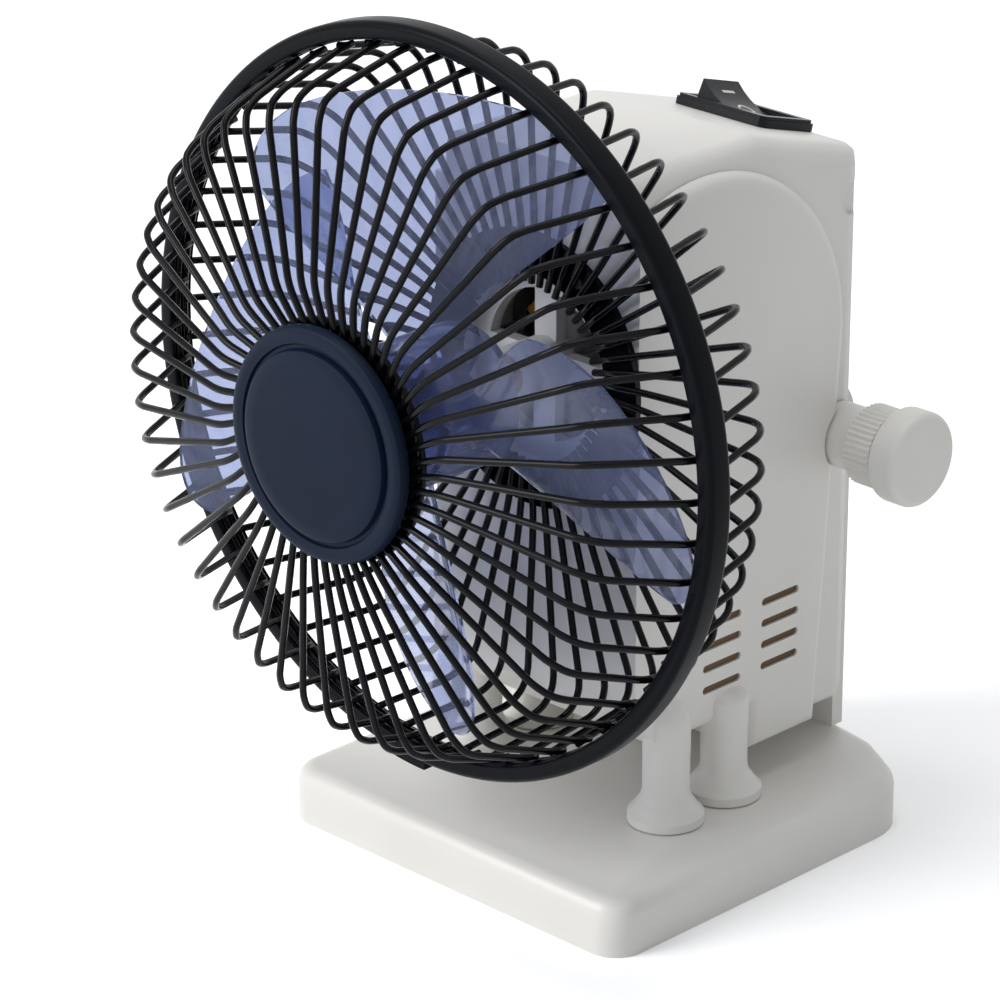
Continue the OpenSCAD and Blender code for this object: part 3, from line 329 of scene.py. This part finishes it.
def eased(points):
    """The path with its corners rounded, all within the corners."""
    path = [points[0]]
    for a, b, c in zip(points, points[1:], points[2:]):
        reach = EASE_SHARE * min((a - b).length, (c - b).length)
        p = b + (a - b).normalized() * reach
        q = b + (c - b).normalized() * reach
        for i in range(EASE_STEPS + 1):
            t = i / EASE_STEPS
            path.append((1 - t) ** 2 * p + 2 * t * (1 - t) * b + t * t * q)
    return path + [points[-1]]


def join_rings(first, rings, sides, faces):
    """Faces of a skin over rings of points, with a cap at each end."""
    for i in range(rings - 1):
        for k in range(sides):
            a, b = first + i * sides + k, first + i * sides + (k + 1) % sides
            faces.append((a, a + sides, b + sides, b))
    last = first + (rings - 1) * sides
    faces.append(tuple(range(first, first + sides)))
    faces.append(tuple(range(last, last + sides)))


def add_wire(path, side, points, faces):
    """A round wire along path; side is roughly square to it all along."""
    first = len(points)
    for i, p in enumerate(path):
        heading = (path[min(i + 1, len(path) - 1)] - path[max(i - 1, 0)]).normalized()
        u = heading.cross(side).normalized()
        v = heading.cross(u)
        for k in range(WIRE_SIDES):
            t = 2 * math.pi * k / WIRE_SIDES
            points.append((p + WIRE_R * (math.cos(t) * u + math.sin(t) * v)) * MM)
    join_rings(first, len(path), WIRE_SIDES, faces)


def add_block(corners, points, faces):
    """A block from its eight corners: four about one end, then four about the other."""
    first = len(points)
    points.extend(corner * MM for corner in corners)
    join_rings(first, 2, 4, faces)


def add_turned(profile, steps, points, faces):
    """A closed profile of (radius, ahead) points, turned about the fan axis."""
    first, count = len(points), len(profile)
    for k in range(steps):
        points.extend(polar(r, f, 360 * k / steps) * MM for r, f in profile)
    for k in range(steps):
        a, b = first + k * count, first + (k + 1) % steps * count
        for i in range(count):
            after = (i + 1) % count
            faces.append((a + i, b + i, b + after, a + after))


def mesh_piece(name, points, faces, material, body, smooth=True):
    """A new piece with its faces turned outward, riding on a body."""
    mesh = bpy.data.meshes.new(name)
    mesh.from_pydata(points, [], faces)
    mesh.validate()
    shell = bmesh.new()
    shell.from_mesh(mesh)
    bmesh.ops.recalc_face_normals(shell, faces=shell.faces)
    shell.to_mesh(mesh)
    shell.free()
    piece = bpy.data.objects.new(name, mesh)
    bpy.context.scene.collection.objects.link(piece)
    mesh.materials.append(material)
    if smooth:
        mesh.polygons.foreach_set("use_smooth", [True] * len(mesh.polygons))
    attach(piece, body)
    return piece


# Wires of the two baskets, with round bends


def front_path(a):
    """From the hub ring out to the front turn and back to the trim ring."""
    before_r, before_f = TURN_BEFORE
    after_r, after_f = TURN_AFTER
    return [
        polar(HUB_RING_R - HUB_LAP, HUB_RING_F - CROWN, a - SWIRL),
        polar(HUB_RING_R + HUB_LAP, HUB_RING_F + CROWN, a - SWIRL * 0.5),
        polar(HUB_RING_R + SWIRL_END, HUB_RING_F + 2 * CROWN, a - SWIRL * 0.1),
        polar(FRONT_TURN_R - before_r, FRONT_TURN_F + before_f, a),
        polar(FRONT_TURN_R, FRONT_TURN_F, a),
        polar(FRONT_TURN_R + after_r, FRONT_TURN_F - after_f, a - TWIST * 0.15),
        polar(HOOP_IN - HOOP_LEAN, RING_FRONT_F, a - TWIST * 0.9),
        polar(HOOP_IN, FRONT_HOOP_F - HOOP_LAP, a - TWIST),
    ]


def rear_path(a):
    """From the rear plate out to the wide rear bend and ahead to the trim ring."""
    bend = arc(REAR_TURN_R - REAR_BEND_IN, REAR_TURN_F + REAR_BEND_AHEAD, REAR_BEND_R,
               REAR_BEND_FROM, REAR_BEND_TO, REAR_BEND_STEPS)
    turns = [a - TWIST * 0.25 * (i / REAR_BEND_STEPS) ** 2 for i in range(REAR_BEND_STEPS + 1)]
    return [
        polar(PLATE_BORE - PLATE_LAP, REAR_WIRE_F, a),
        polar(PLATE_R + PLATE_LAP, REAR_WIRE_F, a),
        *[polar(r, f, turn) for (r, f), turn in zip(bend, turns)],
        polar(HOOP_IN - HOOP_LEAN, RING_BACK_F, a - TWIST * 0.9),
        polar(HOOP_IN, REAR_HOOP_F + HOOP_LAP, a - TWIST),
    ]


def basket(name, path_of, offset, node):
    points, faces = [], []
    for k in range(WIRES):
        a = 360 * (k + offset) / WIRES
        add_wire(eased(path_of(a)), across(a), points, faces)
    piece = mesh_piece(name, points, faces, paint, "head")
    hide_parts(node)


basket("front_basket", front_path, 0.5, "front_wires")
basket("rear_basket", rear_path, 0.0, "rear_wires")


# Trim ring and fan blades with finer curves


def trim_ring():
    wall_in, round_r = RING_R - RING_WALL, RING_R - RING_SOFT
    lip_r, lip_half = RING_R - LIP_IN, LIP_T / 2
    profile = [(HOOP_MID, RING_BACK_F)]
    profile += arc(round_r, RING_BACK_F + RING_SOFT, RING_SOFT, -90, 0)
    profile += arc(round_r, RING_FRONT_F - RING_SOFT, RING_SOFT, 0, 90)
    profile += arc(lip_r + lip_half, RING_FRONT_F - lip_half, lip_half, 90, 270)
    profile += [(wall_in, RING_FRONT_F - LIP_T), (wall_in, RING_BACK_F + BACK_T)]
    profile += [(HOOP_MID, RING_BACK_F + BACK_T)]
    points, faces = [], []
    add_turned(profile, RING_STEPS, points, faces)
    piece = mesh_piece("trim_ring", points, faces, trim, "head")
    smooth_by_angle(piece)
    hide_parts("guard_ring")


def blade_point(s, t, side, turn):
    """A point of a blade: s is -1 at its rear edge and 1 at its front edge, t runs from hub to tip."""
    corner = (LEAD_CORNER if s > 0 else TRAIL_CORNER) * abs(s) ** CORNER_POWER
    r = BLADE_ROOT + (BLADE_TIP - corner - BLADE_ROOT) * t
    u = (r - BLADE_ROOT) / (BLADE_TIP - BLADE_ROOT)
    a = s * (BLADE_HALF + BLADE_SPREAD * u - BLADE_ROUND * u * u) - BLADE_LAG * u
    thin = 1 - EDGE_THIN * max(abs(s), t) ** EDGE_POWER
    f = BLADE_MID_F + BLADE_PITCH * r * math.radians(a) + side * BLADE_T / 2 * thin
    return polar(r, f, turn + a) * MM


def add_blade(turn, points, faces):
    """Two skins of a blade and the rim between them."""
    first, row = len(points), BLADE_COLS + 1
    skin = (BLADE_ROWS + 1) * row
    for side in (-1, 1):
        for i in range(BLADE_ROWS + 1):
            for j in range(row):
                s = math.sin(math.pi / 2 * (2 * j / BLADE_COLS - 1))
                points.append(blade_point(s, i / BLADE_ROWS, side, turn))
    for i in range(BLADE_ROWS):
        for j in range(BLADE_COLS):
            a = first + i * row + j
            faces.append((a, a + 1, a + row + 1, a + row))
            faces.append(tuple(k + skin for k in (a, a + row, a + row + 1, a + 1)))
    rim = list(range(row))
    rim += [i * row + BLADE_COLS for i in range(1, BLADE_ROWS + 1)]
    rim += [BLADE_ROWS * row + j for j in reversed(range(BLADE_COLS))]
    rim += [i * row for i in reversed(range(1, BLADE_ROWS))]
    for a, b in zip(rim, rim[1:] + rim[:1]):
        faces.append((first + a, first + b, first + b + skin, first + a + skin))


def add_rib(turn, points, faces):
    """A web in the hub between the boss and the wall."""
    half = across(turn) * RIB_HALF_T
    inner, outer = BOSS_R - RIB_IN_LAP, HUB_R - RIB_OUT_LAP
    outline = ((inner, -1), (inner, 1), (outer, 1), (outer, -1))
    ends = (HUB_BACK_F + RIB_BACK, HUB_BACK_F + HUB_L - RIB_FRONT)
    add_block([polar(r, f, turn) + half * side for f in ends for r, side in outline], points, faces)


def fan_blades():
    front_f = HUB_BACK_F + HUB_L
    cap_f, boss_f = front_f - HUB_CAP, HUB_BACK_F + BOSS_INSET
    wall_in, round_r = HUB_R - HUB_WALL, HUB_R - HUB_SOFT
    profile = [(AXIS_HOLE, cap_f), (BOSS_BORE, cap_f), (BOSS_BORE, boss_f), (BOSS_R, boss_f)]
    profile += [(BOSS_R, cap_f), (wall_in, cap_f), (wall_in, HUB_BACK_F), (HUB_R, HUB_BACK_F)]
    profile += arc(round_r, front_f - HUB_SOFT, HUB_SOFT, 0, 90) + [(AXIS_HOLE, front_f)]
    points, faces = [], []
    add_turned(profile, HUB_STEPS, points, faces)
    for k in range(RIBS):
        add_rib(360 * k / RIBS, points, faces)
    for k in range(BLADES):
        add_blade(BLADE_FIRST + 360 * k / BLADES, points, faces)
    piece = mesh_piece("clear_blades", points, faces, violet, "rotor")
    smooth_by_angle(piece)
    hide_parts("fan_blade")


trim_ring()
fan_blades()


# Shoulders of the legs and the painted shade in the vent slots


def add_shoulder(mirror, y, rise, points, faces):
    """A round top that leans in until the housing's wall hides it."""
    first, low_r = len(points), LEG_R + SHOULDER_PROUD
    levels = [(SHOULDER_LOW, low_r, LEG_X)]
    for i in range(SHOULDER_STEPS + 1):
        t = i / SHOULDER_STEPS
        narrow, lean = SHOULDER_TAPER * t * t, SHOULDER_LEAN * t * t
        levels.append((SHOULDER_MID + rise * t, low_r - narrow, LEG_X - lean))
    for z, r, x in levels:
        for k in range(SHOULDER_SIDES):
            t = 2 * math.pi * k / SHOULDER_SIDES
            points.append(Vector((mirror * (x + r * math.cos(t)), y + r * math.sin(t), z)) * MM)
    join_rings(first, len(levels), SHOULDER_SIDES, faces)


def leg_shoulders():
    """Where each leg runs into the housing, on both sides."""
    points, faces = [], []
    for mirror in (1, -1):
        for y, rise in LEG_RISES.items():
            add_shoulder(mirror, y, rise, points, faces)
    piece = mesh_piece("leg_shoulders", points, faces, ivory, "head")
    smooth_by_angle(piece)


def add_vent_shade_sheet(mirror, start, middle, points, faces):
    """A thin dark sheet in one vent slot, a little larger than the slot: painted shade of the housing's
    dark inside.
    """
    end, half = start + VENT_L, VENT_H / 2 + VENT_LAP
    low_y, high_y = start - VENT_LAP, end + VENT_LAP
    low_z, high_z = middle - half, middle + half
    outline = ((low_y, low_z), (high_y, low_z), (high_y, high_z), (low_y, high_z))
    add_block([Vector((mirror * x, y, z)) for x in VENT_SHADE_SHEET_X for y, z in outline], points, faces)


def vent_painted_shades():
    """Sheets of painted shade in all vent slots, on both sides."""
    points, faces = [], []
    for mirror in (1, -1):
        for start in VENT_COLUMNS:
            for row in range(VENT_ROWS):
                add_vent_shade_sheet(mirror, start, VENT_LOW + row * VENT_PITCH, points, faces)
    mesh_piece("vent_painted_shades", points, faces, shade, "head", smooth=False)


leg_shoulders()
vent_painted_shades()


# Marks on the rocker: one stroke, a ring and two strokes


def on_rocker():
    """From the rocker's own level frame to the part's frame, in millimetres."""
    place = Matrix.Translation(Vector((0, SWITCH_Y, SWITCH_Z)))
    slope = Matrix.Rotation(math.radians(-SLOPE), 4, "X")
    tilt = Matrix.Rotation(math.radians(ROCKER_TILT), 4, "Y")
    return place @ slope @ tilt


def rocker_height(x):
    """Height of the rocker's top at x: a shallow dip, in flat facets, between its raised ends."""
    k = min(abs(x) / ROCKER_HALF * ROCKER_FACETS, ROCKER_FACETS - 0.001)
    low, part = int(k), k - int(k)
    a, b = [ROCKER_END * (1 - ROCKER_DIP + ROCKER_DIP * (n / ROCKER_FACETS) ** 2) for n in (low, low + 1)]
    return a + (b - a) * part


def add_mark(pairs, points, faces):
    """A thin raised band on the rocker, through pairs of edge points."""
    first, place = len(points), on_rocker()
    for pair in pairs:
        for x, y in pair:
            points.append(place @ Vector((x, y, rocker_height(x) + INK_T)) * MM)
    for i in range(len(pairs) - 1):
        a = first + 2 * i
        faces.append((a, a + 1, a + 3, a + 2))


def rocker_marks():
    points, faces = [], []
    for x in STROKES_X:
        edges = (x - STROKE_HALF_W, x + STROKE_HALF_W)
        add_mark([[(edge, y) for edge in edges] for y in (-STROKE_HALF_L, STROKE_HALF_L)], points, faces)
    turns = [2 * math.pi * i / MARK_STEPS for i in range(MARK_STEPS + 1)]
    add_mark([[(r * math.cos(t), r * math.sin(t)) for r in MARK_RING] for t in turns], points, faces)
    mesh_piece("rocker_marks", points, faces, white_ink, "rocker", smooth=False)


rocker_marks()


# Floor, light and camera


def seen_directly(tree):
    """1 where the camera looks, also by way of metal or clear plastic, and 0 for bounced light."""
    path = tree.nodes.new("ShaderNodeLightPath")
    seen = path.outputs["Is Camera Ray"]
    for kind in ("Is Glossy Ray", "Is Transmission Ray"):
        either = tree.nodes.new("ShaderNodeMath")
        either.operation = "MAXIMUM"
        tree.links.new(seen, either.inputs[0])
        tree.links.new(path.outputs[kind], either.inputs[1])
        seen = either.outputs["Value"]
    return seen


def plain_floor():
    """A pale floor that the camera sees as white paper, with the shadow on it."""
    material, tree, shader = new_material("pale_floor")
    tone = ramp(tree, noise(tree, 3, 2), 0.3, 0.7, (0.9, 0.9, 0.9), (0.92, 0.92, 0.92))
    place = tree.nodes.new("ShaderNodeTexCoord")
    distance = tree.nodes.new("ShaderNodeVectorMath")
    distance.operation = "LENGTH"
    tree.links.new(place.outputs["Object"], distance.inputs[0])
    far = spread(tree, distance.outputs["Value"], LIFT_NEAR, LIFT_FAR)
    far.inputs["From Min"].default_value = FLOOR_NEAR
    far.inputs["From Max"].default_value = FLOOR_FAR
    lift = spread(tree, seen_directly(tree), 1.0, LIFT_NEAR)
    tree.links.new(far.outputs["Result"], lift.inputs["To Max"])
    paper = tree.nodes.new("ShaderNodeVectorMath")
    paper.operation = "SCALE"
    tree.links.new(tone, paper.inputs["Vector"])
    tree.links.new(lift.outputs["Result"], paper.inputs["Scale"])
    tree.links.new(paper.outputs["Vector"], shader.inputs["Base Color"])
    shader.inputs["Roughness"].default_value = 0.9
    shader.inputs["Specular IOR Level"].default_value = 0.0
    bpy.ops.mesh.primitive_plane_add(size=FLOOR_SIZE, location=(0, 0, 0))
    floor = bpy.context.object
    floor.name = "floor"
    floor.data.materials.append(material)


def area_light(name, place, aim, power):
    light = bpy.data.lights.new(name, "AREA")
    light.shape = "DISK"
    light.size = LAMP_SIZE
    light.energy = power
    lamp = bpy.data.objects.new(name, light)
    bpy.context.scene.collection.objects.link(lamp)
    lamp.location = place
    lamp.rotation_euler = (Vector(aim) - Vector(place)).to_track_quat("-Z", "Y").to_euler()


def white_world():
    """White where it is seen, and a softer glow as light."""
    world = bpy.data.worlds.new("studio")
    bpy.context.scene.world = world
    world.use_nodes = True
    tree = world.node_tree
    tree.nodes.clear()
    seen = tree.nodes.new("ShaderNodeBackground")
    seen.inputs["Color"].default_value = (1, 1, 1, 1)
    seen.inputs["Strength"].default_value = 1.0
    glow = tree.nodes.new("ShaderNodeBackground")
    glow.inputs["Color"].default_value = (0.95, 0.97, 1, 1)
    glow.inputs["Strength"].default_value = WORLD_GLOW
    mix = tree.nodes.new("ShaderNodeMixShader")
    end = tree.nodes.new("ShaderNodeOutputWorld")
    tree.links.new(seen_directly(tree), mix.inputs["Fac"])
    tree.links.new(glow.outputs["Background"], mix.inputs[1])
    tree.links.new(seen.outputs["Background"], mix.inputs[2])
    tree.links.new(mix.outputs["Shader"], end.inputs["Surface"])


def photo_camera():
    """The camera at the photograph's angle."""
    camera = bpy.data.cameras.new("camera")
    camera.sensor_width = SENSOR
    camera.lens = LENS
    camera.clip_start = 0.01
    view = bpy.data.objects.new("camera", camera)
    bpy.context.scene.collection.objects.link(view)
    level = math.cos(ELEVATION)
    back = Vector((math.sin(AZIMUTH) * level, -math.cos(AZIMUTH) * level, math.sin(ELEVATION)))
    view.location = TARGET + back * DISTANCE
    view.rotation_euler = (-back).to_track_quat("-Z", "Y").to_euler()
    bpy.context.scene.camera = view
    bpy.context.scene.view_settings.view_transform = "Standard"


plain_floor()
white_world()
area_light("key", (-0.5, -1.0, 0.65), (0, 0, 0.08), 11.0)
area_light("top", (-0.1, 0.0, 1.2), (0, 0, 0.1), 4.2)
photo_camera()
